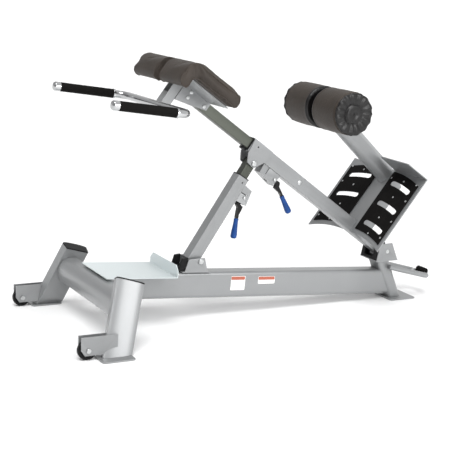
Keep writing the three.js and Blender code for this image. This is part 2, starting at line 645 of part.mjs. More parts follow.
const addRollerPost = () => {
  const rise = ROLLER_POST.riseDeg * RAD;
  const { height, width, wall, end, lug } = ROLLER_POST;
  const section = hollowed(
    roundedRectangle(width, height, width / 2 - 0.5),
    roundedRectangle(width - 2 * wall, height - 2 * wall, width / 2 - wall - 0.5),
    4,
  );
  const axisPoint = new THREE.Vector3(ROLLER.s, 0, ROLLER.n);
  const lay = (geometry) =>
    geometry.applyMatrix4(
      new THREE.Matrix4().makeBasis(
        new THREE.Vector3(-Math.sin(rise), 0, Math.cos(rise)),
        new THREE.Vector3(0, -1, 0),
        new THREE.Vector3(Math.cos(rise), 0, Math.sin(rise)),
      ).setPosition(axisPoint),
    );
  const tube = lay(extrude(section, 420 - end, 4).rotateZ(Math.PI / 2).translate(0, 0, -420));
  const endWall = lay(
    extrude(roundedRectangle(width - 1, height - 1, width / 2 - 1), 5, 4)
      .rotateZ(Math.PI / 2).translate(0, 0, -end - 4),
  );
  const boss = new THREE.Shape();
  boss.absarc(0, 0, 24, 0, Math.PI);
  boss.lineTo(-24, -end - 1);
  boss.lineTo(24, -end - 1);
  const lugPlate = lay(extrude(boss, lug, 10).rotateX(Math.PI / 2).translate(0, lug / 2, 0));
  const behindPlate = block(-FAR, GAP, -FAR, FAR, -FAR, FAR)
    .rotateY(-PLATE.tiltDeg * RAD).translate(PLATE.s, 0, 0);
  const axleBore = rodAlongY(ROLLER.axle + GAP, -60, 60, ROLLER.s, ROLLER.n);
  const vent = rodAlongY(4, -60, 0, 230, 262, 12);
  addNode(arm, 'roller_post', cut(union(tube, endWall, lugPlate), behindPlate, axleBore, vent), SILVER);
  const axle = rodAlongY(ROLLER.axle, -ROLLER.outer + 6, ROLLER.outer - 6, ROLLER.s, ROLLER.n);
  addNode(arm, 'roller_axle', axle, BOLT);
};

const addRoller = (side, label) => {
  const { radius: r, inner, outer, cap, axle } = ROLLER;
  const bore = axle + 1;
  const place = (geometry) => {
    if (side < 0) geometry.rotateX(Math.PI);
    return geometry.translate(ROLLER.s, 0, ROLLER.n);
  };
  const foam = turnedAlongY([
    [bore, inner], [r - 8, inner], [r - 2, inner + 3], [r, inner + 9], [r, outer - cap - 6],
    [r - 1, outer - cap], [bore, outer - cap], [bore, inner],
  ], 40);
  addNode(arm, `roller_foam_${label}`, place(foam), VINYL);
  const from = outer - cap + GAP;
  const disc = turnedAlongY([
    [bore, from], [r - 1.5, from], [r - 5, outer - 5], [r - 14, outer - 1], [30, outer - 3], [28, outer],
    [0, outer], [0, outer - 4], [bore, outer - 4], [bore, from],
  ], 40);
  addNode(arm, `roller_cap_${label}`, place(disc), BLACK);
};

// ---------------------------------------------------------------- seat: tube, carriage, pads, handlebar
const addSeatTube = () => {
  const tube = squareTube(SEAT_TUBE.size, INNER_WALL, SEAT_TUBE.from, SEAT_TUBE.to);
  const holes = lockHoles(SEAT_TUBE.size, ARM_LATCH_AT - 2 * HOLE_PITCH, ARM_LATCH_AT + 7 * HOLE_PITCH, 0);
  addNode(arm, 'seat_inner_tube', cut(tube, ...holes), ZINC);
};

const addCarriage = (side, label) => {
  const inside = SEAT_TUBE.size / 2 + GAP;
  const gusset = shapeOf([[1035, 24.8], [1035, -8], [1066, -18], [1168.7, -46], [1168.7, 24.8]]);
  const web = side > 0 ? plateXZ(gusset, inside, inside + 4) : plateXZ(gusset, -inside - 4, -inside);
  const shelf = side > 0
    ? block(1037, 1222, inside, 168, 21.3, 24.8)
    : block(1037, 1222, -168, -inside, 21.3, 24.8);
  addNode(arm, `carriage_${label}`, union(web, shelf), SILVER);
};

const padOutline = () => {
  const { rear, front, hook, top, bottom, toe } = PAD;
  const shape = new THREE.Shape();
  const nose = (top - bottom) / 2;
  shape.moveTo(rear + 18, bottom);
  shape.lineTo(hook - 10, bottom);
  shape.absarc(hook - 10, bottom - 10, 10, Math.PI / 2, 0, true);
  shape.lineTo(hook, toe + 16);
  shape.absarc(hook + 16, toe + 16, 16, Math.PI, 1.5 * Math.PI);
  shape.lineTo(front - 26, toe);
  shape.absarc(front - 26, toe + 26, 26, -Math.PI / 2, 0);
  shape.lineTo(front, top - 52);
  shape.absarc(front - 52, top - 52, 52, 0, Math.PI / 2);
  shape.lineTo(rear + nose, top);
  shape.absarc(rear + nose, top - nose, nose, Math.PI / 2, Math.PI);
  shape.absarc(rear + 18, bottom + 18, 18, Math.PI, 1.5 * Math.PI);
  return shape;
};

const addPad = (side, label) => {
  const from = side > 0 ? PAD.inner : -PAD.outer;
  const to = side > 0 ? PAD.outer : -PAD.inner;
  addNode(arm, `hip_pad_${label}`, plateXZ(padOutline(), from, to, 6), VINYL);
};

const addStem = () => {
  const { from, to, half, wall, top, webTop, bottom } = STEM;
  const outer = block(from, to, -half, half, bottom, top);
  const inner = block(from + wall, to - wall, -half + wall, half - wall, bottom - 5, top + 5);
  const notch = block(to - wall - 1, to + 5, -half + wall, half - wall, webTop, top + 5);
  const saddle = rodAlongY(BAR.radius + GAP, -60, 60, BAR.s, BAR.n);
  const toe = block(BAR.s - 4, to + 20, -60, 60, bottom - 5, BAR.n);
  addNode(arm, 'handlebar_stem', cut(outer, inner, notch, saddle, toe), SILVER);
};

// the handlebar is one bar bent to a U: two side grips joined by a bar across, under the stem
const bar = new THREE.Group();
bar.position.set(BAR.s, 0, BAR.n);
bar.rotation.y = INCLINE - BAR.dropDeg * RAD;
arm.add(bar);

const addHandlebar = () => {
  const { half, corner, length, radius } = BAR;
  const alongX = (profile, y) => turnedAlongY(profile, 24).rotateZ(-Math.PI / 2).translate(0, y, 0);
  const collar = [[0, 49], [radius + 4, 49], [radius + 4, GRIP.from - GAP], [0, GRIP.from - GAP]];
  const knob = [
    [0, GRIP.to + GAP], [GRIP.radius, GRIP.to + GAP], [GRIP.radius, length + 2],
    [GRIP.radius - 4, length + 7], [0, length + 8],
  ];
  const pieces = [-half, half].flatMap((y) => [alongX(collar, y), alongX(knob, y)]);
  addNode(bar, 'handlebar_tube', union(bentBar(length, 0, half, corner, radius, 20), ...pieces), CHROME);
};

const addGrip = (side, label) => {
  const { radius, from, to } = GRIP;
  const bore = BAR.radius + GAP;
  const sleeve = turnedAlongY([[bore, from], [radius, from], [radius, to], [bore, to], [bore, from]], 24)
    .rotateZ(-Math.PI / 2).translate(0, side * BAR.half, 0);
  addNode(bar, `handlebar_grip_${label}`, sleeve, RUBBER);
};

// ---------------------------------------------------------------- strut
const strut = new THREE.Group();
strut.position.set(STRUT_PIVOT.x, 0, STRUT_PIVOT.z);
strut.rotation.y = -STRUT_ANGLE; // local x runs up the strut

const addStrut = () => {
  const tube = squareTube(STRUT_SIZE, STRUT_WALL, STRUT_START, STRUT_END, STRUT_OFFSET);
  const bore = rodAlongY(6.3, -60, 60);
  const lockBore = rodAlongZ(LATCH.pin + 1, -FAR, STRUT_OFFSET, STRUT_LATCH_AT);
  const rivet = rodAlongY(3, -60, 0, 342, STRUT_OFFSET - 6, 16);
  addNode(strut, 'strut_tube', cut(tube, bore, lockBore, rivet), SILVER);
  const parts = bush(STRUT_SIZE, STRUT_WALL, STRUT_INNER.size, STRUT_END, STRUT_OFFSET);
  addNode(strut, 'strut_bush', union(parts.flange, parts.sleeve).subtract(toSolid(lockBore)), BLACK);

  const head = CLEVIS_PIN_ALONG;
  const half = STRUT_INNER.size / 2;
  const inner = squareTube(STRUT_INNER.size, INNER_WALL, STRUT_INNER.from, head + half, STRUT_OFFSET);
  const low = STRUT_OFFSET - half + 1;
  const core = block(head - 26, head + half, -half + 1, half - 1, low, STRUT_OFFSET + half - 1);
  const eye = rodAlongY(9.4, -60, 60, head, STRUT_OFFSET);
  const round = new THREE.Shape();
  round.moveTo(-FAR, -half - 1);
  round.lineTo(head, -half);
  round.absarc(head, 0, half, -Math.PI / 2, Math.PI / 2);
  round.lineTo(-FAR, half + 1);
  const envelope = plateXZ(round, -60, 60, 12).translate(0, 0, STRUT_OFFSET);
  const first = STRUT_LATCH_AT - 5 * HOLE_PITCH;
  const holes = lockHoles(STRUT_INNER.size, first, STRUT_LATCH_AT + HOLE_PITCH, STRUT_OFFSET);
  const solid = union(inner, core).intersect(toSolid(envelope));
  addNode(strut, 'strut_inner_tube', cut(solid, eye, ...holes), ZINC);
};

// ---------------------------------------------------------------- assembly
for (const [side, label] of [[-1, 'left'], [1, 'right']]) {
  addFrontPost(datum, side, label);
  addWheelSet(datum, side, label);
}
addCrossTube(datum);
addBeam(datum);
addPlatform(datum);
addStrutBase(datum);
addRearPost(datum);
addRearBracket(datum);
addRearHandle(datum);

datum.add(arm);
addArmTube();
addArmBush();
addClevis();
addFootPlate();
addSpine();
addRollerPost();
addSeatTube();
addStem();
addHandlebar();
// inside the arm group the user's left is +y
for (const [side, label] of [[1, 'left'], [-1, 'right']]) {
  addFootMat(side, label);
  addRoller(side, label);
  addCarriage(side, label);
  addPad(side, label);
  addGrip(side, label);
}
addLatch(arm, 'arm', {
  at: ARM_LATCH_AT, surface: -ARM_HALF, leverEnd: -35, ahead: 56, clearance: (ARM_SIZE - SEAT_TUBE.size) / 2,
});

datum.add(strut);
addStrut();
addLatch(strut, 'strut', {
  at: STRUT_LATCH_AT, surface: STRUT_OFFSET - STRUT_SIZE / 2, leverEnd: -49, ahead: 20,
  clearance: (STRUT_SIZE - STRUT_INNER.size) / 2,
});

export default root;
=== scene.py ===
import json
import math

import bmesh
import bpy
from mathutils import Matrix, Vector, noise
from mathutils.bvhtree import BVHTree


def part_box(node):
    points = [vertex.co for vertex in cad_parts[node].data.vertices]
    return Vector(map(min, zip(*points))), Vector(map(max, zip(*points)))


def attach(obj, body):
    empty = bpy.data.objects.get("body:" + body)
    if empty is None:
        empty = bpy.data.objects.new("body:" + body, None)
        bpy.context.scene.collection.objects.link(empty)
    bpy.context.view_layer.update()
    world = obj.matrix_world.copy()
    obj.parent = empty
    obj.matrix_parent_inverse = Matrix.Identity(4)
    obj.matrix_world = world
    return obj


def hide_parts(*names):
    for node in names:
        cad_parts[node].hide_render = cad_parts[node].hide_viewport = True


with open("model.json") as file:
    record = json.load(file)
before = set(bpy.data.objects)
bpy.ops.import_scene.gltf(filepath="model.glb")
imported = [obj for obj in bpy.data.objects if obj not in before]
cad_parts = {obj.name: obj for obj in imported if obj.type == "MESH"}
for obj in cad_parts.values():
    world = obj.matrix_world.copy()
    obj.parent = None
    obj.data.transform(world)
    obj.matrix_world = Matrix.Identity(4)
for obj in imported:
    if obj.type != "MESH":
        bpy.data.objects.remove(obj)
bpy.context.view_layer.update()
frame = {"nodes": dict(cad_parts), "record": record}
nodes = frame["nodes"]
record = frame["record"]

# ---------------------------------------------------------------- the machine's own directions
joints = {joint["name"]: joint for joint in record["behaviour"]["joints"]}
ARM_ORIGIN = Vector(joints["arm_incline"]["pos_m"])
ARM_ALONG = Vector(joints["seat_slide"]["axis"]).normalized()
ARM_UP = Vector((ARM_ALONG.z, 0, -ARM_ALONG.x))
ROLLER_AXIS = Vector(joints["roller_left_spin"]["pos_m"])


def on_arm(along, y, up):
    """A point given in metres along the arm, across it and away from the floor."""
    return ARM_ORIGIN + ARM_ALONG * along + Vector((0, y, 0)) + ARM_UP * up


# ---------------------------------------------------------------- camera
AZIMUTH = math.radians(-27.917)
ELEVATION = math.radians(12.3)
ROLL = math.radians(2.488)
CAMERA_AT = Vector((-2.33279, -4.17634, 1.38447))
LENS = 99.913  # mm
SENSOR = 36  # mm
FAR_CLIP = 300


def add_camera():
    flat = math.cos(ELEVATION)
    back = Vector((math.sin(AZIMUTH) * flat, -math.cos(AZIMUTH) * flat, math.sin(ELEVATION)))
    right = Vector((math.cos(AZIMUTH), math.sin(AZIMUTH), 0))
    up = back.cross(right)
    x = right * math.cos(ROLL) + up * math.sin(ROLL)
    y = up * math.cos(ROLL) - right * math.sin(ROLL)
    data = bpy.data.cameras.new("camera")
    data.lens = LENS
    data.sensor_width = SENSOR
    data.clip_end = FAR_CLIP
    camera = bpy.data.objects.new("camera", data)
    turn = Matrix((x, y, back)).transposed()
    camera.matrix_world = Matrix.Translation(CAMERA_AT) @ turn.to_4x4()
    bpy.context.collection.objects.link(camera)
    bpy.context.scene.camera = camera


add_camera()


# ---------------------------------------------------------------- materials
class Surface:
    """A node material round one Principled shader, on the object's own coordinates.

    Colours are linear, texture scales are per metre and bump heights are in metres.
    """

    def __init__(self, name, roughness, metallic=0.0, **sockets):
        self.material = bpy.data.materials.new(name)
        self.material.use_nodes = True
        self.tree = self.material.node_tree
        self.shader = self.tree.nodes["Principled BSDF"]
        self.shader.inputs["Roughness"].default_value = roughness
        self.shader.inputs["Metallic"].default_value = metallic
        for socket, value in sockets.items():
            self.shader.inputs[socket.replace("_", " ")].default_value = value
        self.place = self.add("ShaderNodeTexCoord").outputs["Object"]
        self.normal = None

    def add(self, kind, **values):
        node = self.tree.nodes.new(kind)
        for name, value in values.items():
            setattr(node, name, value)
        return node

    def link(self, source, target):
        self.tree.links.new(source, target)

    def stretched(self, scale, turn=0.0):
        mapping = self.add("ShaderNodeMapping")
        mapping.inputs["Scale"].default_value = scale
        mapping.inputs["Rotation"].default_value = (0, turn, 0)
        self.link(self.place, mapping.inputs["Vector"])
        return mapping.outputs["Vector"]

    def noise(self, scale, detail=3.0, vector=None):
        node = self.add("ShaderNodeTexNoise")
        node.inputs["Scale"].default_value = scale
        node.inputs["Detail"].default_value = detail
        self.link(vector or self.place, node.inputs["Vector"])
        return node.outputs["Fac"]

    def cells(self, scale, feature="DISTANCE_TO_EDGE"):
        node = self.add("ShaderNodeTexVoronoi", feature=feature)
        node.inputs["Scale"].default_value = scale
        self.link(self.place, node.inputs["Vector"])
        return node.outputs["Distance"]

    def ramp(self, source, stops):
        node = self.add("ShaderNodeValToRGB")
        elements = node.color_ramp.elements
        while len(elements) < len(stops):
            elements.new(0.5)
        for element, (position, color) in zip(elements, stops):
            element.position = position
            element.color = (*color, 1)
        self.link(source, node.inputs["Fac"])
        return node.outputs["Color"]

    def mixed(self, amount, first, second):
        node = self.add("ShaderNodeMix", data_type="RGBA")
        self.link(amount, node.inputs[0])
        self.link(first, node.inputs[6])
        self.link(second, node.inputs[7])
        return node.outputs[2]

    def color(self, source):
        self.link(source, self.shader.inputs["Base Color"])

    def bump(self, source, height, strength=1.0):
        node = self.add("ShaderNodeBump")
        node.inputs["Distance"].default_value = height
        node.inputs["Strength"].default_value = strength
        self.link(source, node.inputs["Height"])
        if self.normal:
            self.link(self.normal, node.inputs["Normal"])
        self.normal = node.outputs["Normal"]
        self.link(self.normal, self.shader.inputs["Normal"])

    def rough(self, source, low, high):
        node = self.add("ShaderNodeMapRange")
        node.inputs["To Min"].default_value = low
        node.inputs["To Max"].default_value = high
        self.link(source, node.inputs["Value"])
        self.link(node.outputs["Result"], self.shader.inputs["Roughness"])

    def edges(self):
        return self.add("ShaderNodeNewGeometry").outputs["Pointiness"]


def shades(color, spread):
    return [tuple(min(1.0, c * k) for c in color) for k in (1 - spread, 1, 1 + spread)]


def toned(surface, color, spread, scale, detail=3.0, vector=None):
    """Soft patches of lighter and darker colour, with paler edges painted on as a highlight."""
    low, middle, high = shades(color, spread)
    patches = surface.noise(scale, detail, vector)
    body = surface.ramp(patches, [(0.3, low), (0.5, middle), (0.7, high)])
    # paler colour on every convex edge (pointiness): a painted highlight along the edges
    painted_edge_highlight = tuple(min(1.0, c * 1.35 + 0.002) for c in color)
    edge = surface.ramp(surface.edges(), [(0.515, (0, 0, 0)), (0.6, (1, 1, 1))])
    rim = surface.ramp(patches, [(0.0, painted_edge_highlight), (1.0, painted_edge_highlight)])
    surface.color(surface.mixed(edge, body, rim))
    return patches


def silver_coat():
    s = Surface("silver_coat", 0.36, 0.45, Coat_Weight=0.25, Coat_Roughness=0.18)
    patches = toned(s, (0.262, 0.268, 0.272), 0.05, 7)
    s.rough(patches, 0.3, 0.42)
    s.bump(s.cells(1500, "F1"), 0.00006)  # metallic flake
    s.bump(s.noise(420, 2), 0.00012)  # orange peel of the powder coat
    return s.material


def pale_coat():
    s = Surface("pale_coat", 0.42, 0.05)
    patches = toned(s, (0.52, 0.565, 0.57), 0.04, 5)
    s.rough(patches, 0.34, 0.5)
    s.bump(s.noise(380, 2), 0.0001)
    return s.material


def zinc():
    s = Surface("zinc", 0.4, 0.8)
    lines = s.stretched((900, 900, 22), math.radians(54.4))
    toned(s, (0.075, 0.08, 0.068), 0.2, 1.0, 4, lines)
    s.rough(s.noise(1.0, 3, lines), 0.3, 0.52)
    s.bump(s.noise(1.0, 2, lines), 0.00005)
    return s.material


def chrome():
    s = Surface("chrome", 0.12, 1.0)
    patches = toned(s, (0.47, 0.475, 0.48), 0.05, 9)
    s.rough(patches, 0.1, 0.24)
    s.bump(s.noise(250, 2), 0.00002)
    return s.material


def bolt_steel():
    s = Surface("bolt_steel", 0.3, 0.9)
    patches = toned(s, (0.52, 0.53, 0.53), 0.1, 60)
    s.rough(patches, 0.22, 0.4)
    s.bump(s.noise(700, 2), 0.00004)
    return s.material


def black_plastic():
    s = Surface("black_plastic", 0.45, Specular_IOR_Level=0.16)
    patches = toned(s, (0.006, 0.006, 0.0065), 0.3, 14)
    s.rough(patches, 0.36, 0.55)
    s.bump(s.noise(1100, 2), 0.00008)
    return s.material


def black_rubber():
    s = Surface("black_rubber", 0.7, Specular_IOR_Level=0.08)
    patches = toned(s, (0.005, 0.0045, 0.0042), 0.3, 18)
    s.rough(patches, 0.6, 0.82)
    s.bump(s.cells(420, "F1"), 0.0003)
    s.bump(s.noise(1500, 2), 0.00008)
    return s.material


def vinyl():
    s = Surface("vinyl", 0.45, Specular_IOR_Level=0.24)
    patches = toned(s, (0.045, 0.036, 0.0295), 0.2, 9, 5)
    s.rough(patches, 0.42, 0.6)
    s.bump(s.cells(430), 0.00035)  # pressed leather grain
    s.bump(s.noise(70, 4), 0.0006)  # the foam's own unevenness
    return s.material


def black_vinyl():
    s = Surface("black_vinyl", 0.3, Specular_IOR_Level=0.4)
    patches = toned(s, (0.006, 0.0055, 0.0055), 0.3, 20)
    s.rough(patches, 0.22, 0.42)
    s.bump(s.noise(90, 4), 0.0012)  # creases of the gathered sheet
    s.bump(s.cells(430), 0.0002)
    return s.material


def lever_steel():
    s = Surface("lever_steel", 0.35, Specular_IOR_Level=0.25)
    patches = toned(s, (0.006, 0.006, 0.006), 0.25, 30)
    s.rough(patches, 0.28, 0.44)
    s.bump(s.noise(600, 2), 0.00008)
    return s.material


def blue_plastic():
    s = Surface("blue_plastic", 0.35, Specular_IOR_Level=0.25)
    patches = toned(s, (0.009, 0.05, 0.2), 0.2, 40)
    s.rough(patches, 0.28, 0.46)
    s.bump(s.noise(500, 3), 0.00015)
    return s.material


def label_paper(name, color):
    s = Surface(name, 0.4)
    patches = toned(s, color, 0.03, 60)
    s.rough(patches, 0.32, 0.48)
    s.bump(s.noise(900, 2), 0.00003)
    return s.material


MAKERS = (silver_coat, pale_coat, zinc, chrome, bolt_steel, black_plastic, black_rubber,
          vinyl, black_vinyl, lever_steel, blue_plastic)
LOOKS = {maker.__name__: maker() for maker in MAKERS}


# ---------------------------------------------------------------- carried-over CAD nodes
SHARP_FROM = math.radians(32)  # edges steeper than this stay sharp
BEVEL_FROM = math.radians(38)
WELD_WITHIN = 0.00002
EDGE = 0.001  # the usual rounding of an edge
BEVELS = {"front_post_cap_left": 0.0025, "front_post_cap_right": 0.0025,
          "rear_hinge_cover": 0.002, "platform_plate": 0.0008, "rear_foot_plate": 0.0012}


def smooth_by_angle():
    """A node group that shades smooth everywhere but at sharp edges."""
    group = bpy.data.node_groups.new("smooth_by_angle", "GeometryNodeTree")
    group.interface.new_socket("Geometry", in_out="INPUT", socket_type="NodeSocketGeometry")
    group.interface.new_socket("Geometry", in_out="OUTPUT", socket_type="NodeSocketGeometry")
    entry = group.nodes.new("NodeGroupInput")
    leave = group.nodes.new("NodeGroupOutput")
    faces = group.nodes.new("GeometryNodeSetShadeSmooth")
    faces.domain = "FACE"
    edges = group.nodes.new("GeometryNodeSetShadeSmooth")
    edges.domain = "EDGE"
    edges.inputs["Shade Smooth"].default_value = False
    angle = group.nodes.new("GeometryNodeInputMeshEdgeAngle")
    sharp = group.nodes.new("FunctionNodeCompare")
    sharp.data_type = "FLOAT"
    sharp.operation = "GREATER_THAN"
    sharp.inputs[1].default_value = SHARP_FROM
    group.links.new(entry.outputs[0], faces.inputs["Geometry"])
    group.links.new(faces.outputs[0], edges.inputs["Geometry"])
    group.links.new(angle.outputs["Unsigned Angle"], sharp.inputs[0])
    group.links.new(sharp.outputs[0], edges.inputs["Selection"])
    group.links.new(edges.outputs[0], leave.inputs[0])
    return group


SMOOTH = smooth_by_angle()


def dress(obj, width):
    """Rounded edges and clean shading; the mesh itself stays as it is."""
    weld = obj.modifiers.new("weld", "WELD")
    weld.merge_threshold = WELD_WITHIN
    bevel = obj.modifiers.new("bevel", "BEVEL")
    bevel.width = width
    bevel.segments = 2
    bevel.limit_method = "ANGLE"
    bevel.angle_limit = BEVEL_FROM
    shade = obj.modifiers.new("shade", "NODES")
    shade.node_group = SMOOTH
    flats = obj.modifiers.new("flats", "WEIGHTED_NORMAL")
    flats.weight = 80
    flats.keep_sharp = True


def give(obj, material):
    if not obj.material_slots:
        obj.data.materials.append(material)
    for entry in obj.material_slots:
        entry.material = material


for part in record["subparts"]:
    node = nodes[part["node"]]
    give(node, LOOKS[part["material_slot"]])
    dress(node, BEVELS.get(part["node"], EDGE))


# ---------------------------------------------------------------- new pieces
def add_piece(name, mesh, body, slot, look=None):
    piece = bpy.data.objects.new(name, mesh)
    bpy.context.collection.objects.link(piece)
    give(piece, LOOKS[look or slot])
    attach(piece, body)
    return piece


def closed_mesh(name, points, faces):
    """A mesh with every face turned outwards."""
    mesh = bpy.data.meshes.new(name)
    mesh.from_pydata(points, [], faces)
    form = bmesh.new()
    form.from_mesh(mesh)
    bmesh.ops.recalc_face_normals(form, faces=form.faces)
    form.to_mesh(mesh)
    form.free()
    return mesh


def shade_smooth(mesh):
    mesh.polygons.foreach_set("use_smooth", [True] * len(mesh.polygons))


def evaluated_mesh(obj):
    graph = bpy.context.evaluated_depsgraph_get()
    return bpy.data.meshes.new_from_object(obj.evaluated_get(graph))


# hip pads: foam under stretched vinyl, swollen by cloth pressure and flat on their shelf
PAD_VOXEL = 0.005
PAD_SMOOTHING = 3  # passes over the voxel form
PAD_INSET = 0.0045  # the form is shrunk by this before it is swollen
PAD_MOVE = 0.0095  # the furthest that the cloth may carry a point
PAD_PRESSURE = 4.0
PAD_FRAMES = 20
PAD_FLOOR = 0.0255  # the pad's flat back above the arm's axis
PAD_SHELF_END = 1.222  # where the flat back ends, along the arm
WELT_RADIUS = 0.0019
WELT_STEP = 0.006
WELT_LIFT = 0.0004


def remeshed(name, node):
    source = bpy.data.objects.new(name, nodes[node].data.copy())
    bpy.context.collection.objects.link(source)
    weld = source.modifiers.new("weld", "WELD")
    weld.merge_threshold = WELD_WITHIN
    remesh = source.modifiers.new("remesh", "REMESH")
    remesh.mode = "VOXEL"
    remesh.voxel_size = PAD_VOXEL
    bpy.context.view_layer.update()
    mesh = evaluated_mesh(source)
    bpy.data.objects.remove(source)
    form = bmesh.new()
    form.from_mesh(mesh)
    for _ in range(PAD_SMOOTHING):
        bmesh.ops.smooth_vert(form, verts=form.verts, factor=0.5,
                              use_axis_x=True, use_axis_y=True, use_axis_z=True)
    form.normal_update()
    shrunk = [v.co - v.normal * PAD_INSET for v in form.verts]
    for vert, point in zip(form.verts, shrunk):
        vert.co = point
    form.to_mesh(mesh)
    form.free()
    return mesh


def inflate(name, mesh):
    """Cloth pressure on the closed form; the result is capped and written to the mesh."""
    rest = [v.co.copy() for v in mesh.vertices]
    obj = bpy.data.objects.new(name, mesh)
    bpy.context.collection.objects.link(obj)
    cloth = obj.modifiers.new("cloth", "CLOTH")
    cloth.settings.use_pressure = True
    cloth.settings.uniform_pressure_force = PAD_PRESSURE
    cloth.settings.effector_weights.gravity = 0
    cloth.settings.quality = 5
    cloth.point_cache.frame_start = 1
    cloth.point_cache.frame_end = PAD_FRAMES
    for step in range(1, PAD_FRAMES + 1):
        bpy.context.scene.frame_set(step)
    moved = [v.co.copy() for v in evaluated_mesh(obj).vertices]
    bpy.data.objects.remove(obj)
    bpy.context.scene.frame_set(1)
    for vertex, start, end in zip(mesh.vertices, rest, moved):
        step = end - start
        if step.length > PAD_MOVE:
            step *= PAD_MOVE / step.length
        vertex.co = start + step
    mesh.update()


def settle(mesh):
    """The back of the pad stays flat where it rests on the carriage."""
    for vertex in mesh.vertices:
        offset = vertex.co - ARM_ORIGIN
        along, up = offset.dot(ARM_ALONG), offset.dot(ARM_UP)
        if along < PAD_SHELF_END and up < PAD_FLOOR:
            vertex.co += ARM_UP * (PAD_FLOOR - up)
    mesh.update()


def end_loops(node):
    """The outline of an extruded node at each of its two ends, as ordered rings of points."""
    form = bmesh.new()
    form.from_mesh(nodes[node].data)
    bmesh.ops.remove_doubles(form, verts=form.verts, dist=WELD_WITHIN)
    low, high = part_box(node)
    rings = []
    for level in (low.y, high.y):
        rim = {}
        for edge in form.edges:
            if any(abs(v.co.y - level) > 0.0001 for v in edge.verts):
                continue
            flat = [abs(face.normal.y) > 0.9 for face in edge.link_faces]
            if sorted(flat) == [False, True]:
                a, b = edge.verts
                rim.setdefault(a, []).append(b)
                rim.setdefault(b, []).append(a)
        start = next(iter(rim))
        ring, last, here = [start.co.copy()], start, rim[start][0]
        while here != start:
            ring.append(here.co.copy())
            last, here = here, next(v for v in rim[here] if v != last)
        rings.append(ring)
    form.free()
    return rings


def resampled(ring, step):
    points = []
    for a, b in zip(ring, ring[1:] + ring[:1]):
        count = max(1, round((b - a).length / step))
        points += [a.lerp(b, k / count) for k in range(count)]
    return points


def piping(name, ring, surface):
    """A welt laid on the pad's surface along its seam."""
    path = []
    for point in resampled(ring, WELT_STEP):
        spot, normal, _, _ = surface.find_nearest(point)
        path.append(spot + normal * WELT_LIFT)
    before, after = path[-1:] + path[:-1], path[1:] + path[:1]
    path = [(a + b * 2 + c) / 4 for a, b, c in zip(before, path, after)]
    curve = bpy.data.curves.new(name, "CURVE")
    curve.dimensions = "3D"
    curve.bevel_depth = WELT_RADIUS
    curve.bevel_resolution = 2
    line = curve.splines.new("POLY")
    line.points.add(len(path) - 1)
    for target, point in zip(line.points, path):
        target.co = (*point, 1)
    line.use_cyclic_u = True
    add_piece(name, curve, "seat", "vinyl")


def add_hip_pads():
    left = remeshed("hip_pad_form", "hip_pad_left")
    inflate("hip_pad_form", left)
    settle(left)
    right = left.copy()
    for vertex in right.vertices:
        vertex.co.y = -vertex.co.y
    right.flip_normals()
    for side, mesh in (("left", left), ("right", right)):
        shade_smooth(mesh)
        pad = add_piece(f"hip_pad_{side}_vinyl", mesh, "seat", "vinyl")
        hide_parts(f"hip_pad_{side}")
        pad.modifiers.new("subdivision", "SUBSURF").levels = 1
        pad.modifiers["subdivision"].render_levels = 1
        surface = BVHTree.FromPolygons([v.co for v in mesh.vertices],
                                       [p.vertices for p in mesh.polygons])
        for index, ring in enumerate(end_loops(f"hip_pad_{side}")):
            piping(f"hip_pad_{side}_piping_{index}", ring, surface)


add_hip_pads()

# ankle rollers: a foam tube in a vinyl sleeve, gathered at both ends
ROLLER_AROUND = 96  # points round each ring
ROLLER_BORE = 0.0125
ROLLER_RIM = 0.0135  # the black gathered edge at the inner end
SLEEVE_ROUND = 0.012  # the rounding at both ends of the sleeve
SLEEVE_SQUASH = 0.9  # of that rounding, along the axle
SLEEVE_REACH = 0.0108  # how far the rounding runs along the axle
SLEEVE_CROWN = 0.0012
SLEEVE_RIPPLE = 0.0007
SLEEVE_FOLDS = 30
CAP_FOLDS = 15
CAP_SEED = 5.0
END_STEPS = 6
BODY_STEPS = 24
SOFT_FROM = 0.05  # rings wider than this are soft and a little uneven
SOFT_WOBBLE = 0.0009


def ring_surface(name, rings):
    """A closed surface from rings of equally many points, the last joined to the first."""
    points = [point for ring in rings for point in ring]
    around = len(rings[0])
    faces = []
    for i in range(len(rings)):
        a, b = i * around, ((i + 1) % len(rings)) * around
        for k in range(around):
            n = (k + 1) % around
            faces.append((a + k, a + n, b + n, b + k))
    mesh = closed_mesh(name, points, faces)
    shade_smooth(mesh)
    return mesh


def roller_ring(y, radius, ripple, folds, seed, lift=0.0):
    ring = []
    for k in range(ROLLER_AROUND):
        angle = 2 * math.pi * k / ROLLER_AROUND
        wobble = noise.noise(Vector((math.cos(angle) * 2, math.sin(angle) * 2, y * 14 + seed)))
        fold = math.cos(folds * angle + 2 * wobble)
        r = radius + ripple * fold + SOFT_WOBBLE * wobble * (radius > SOFT_FROM)
        spot = ROLLER_AXIS + Vector((r * math.cos(angle), 0, r * math.sin(angle)))
        spot.y = y + lift * fold
        ring.append(spot)
    return ring


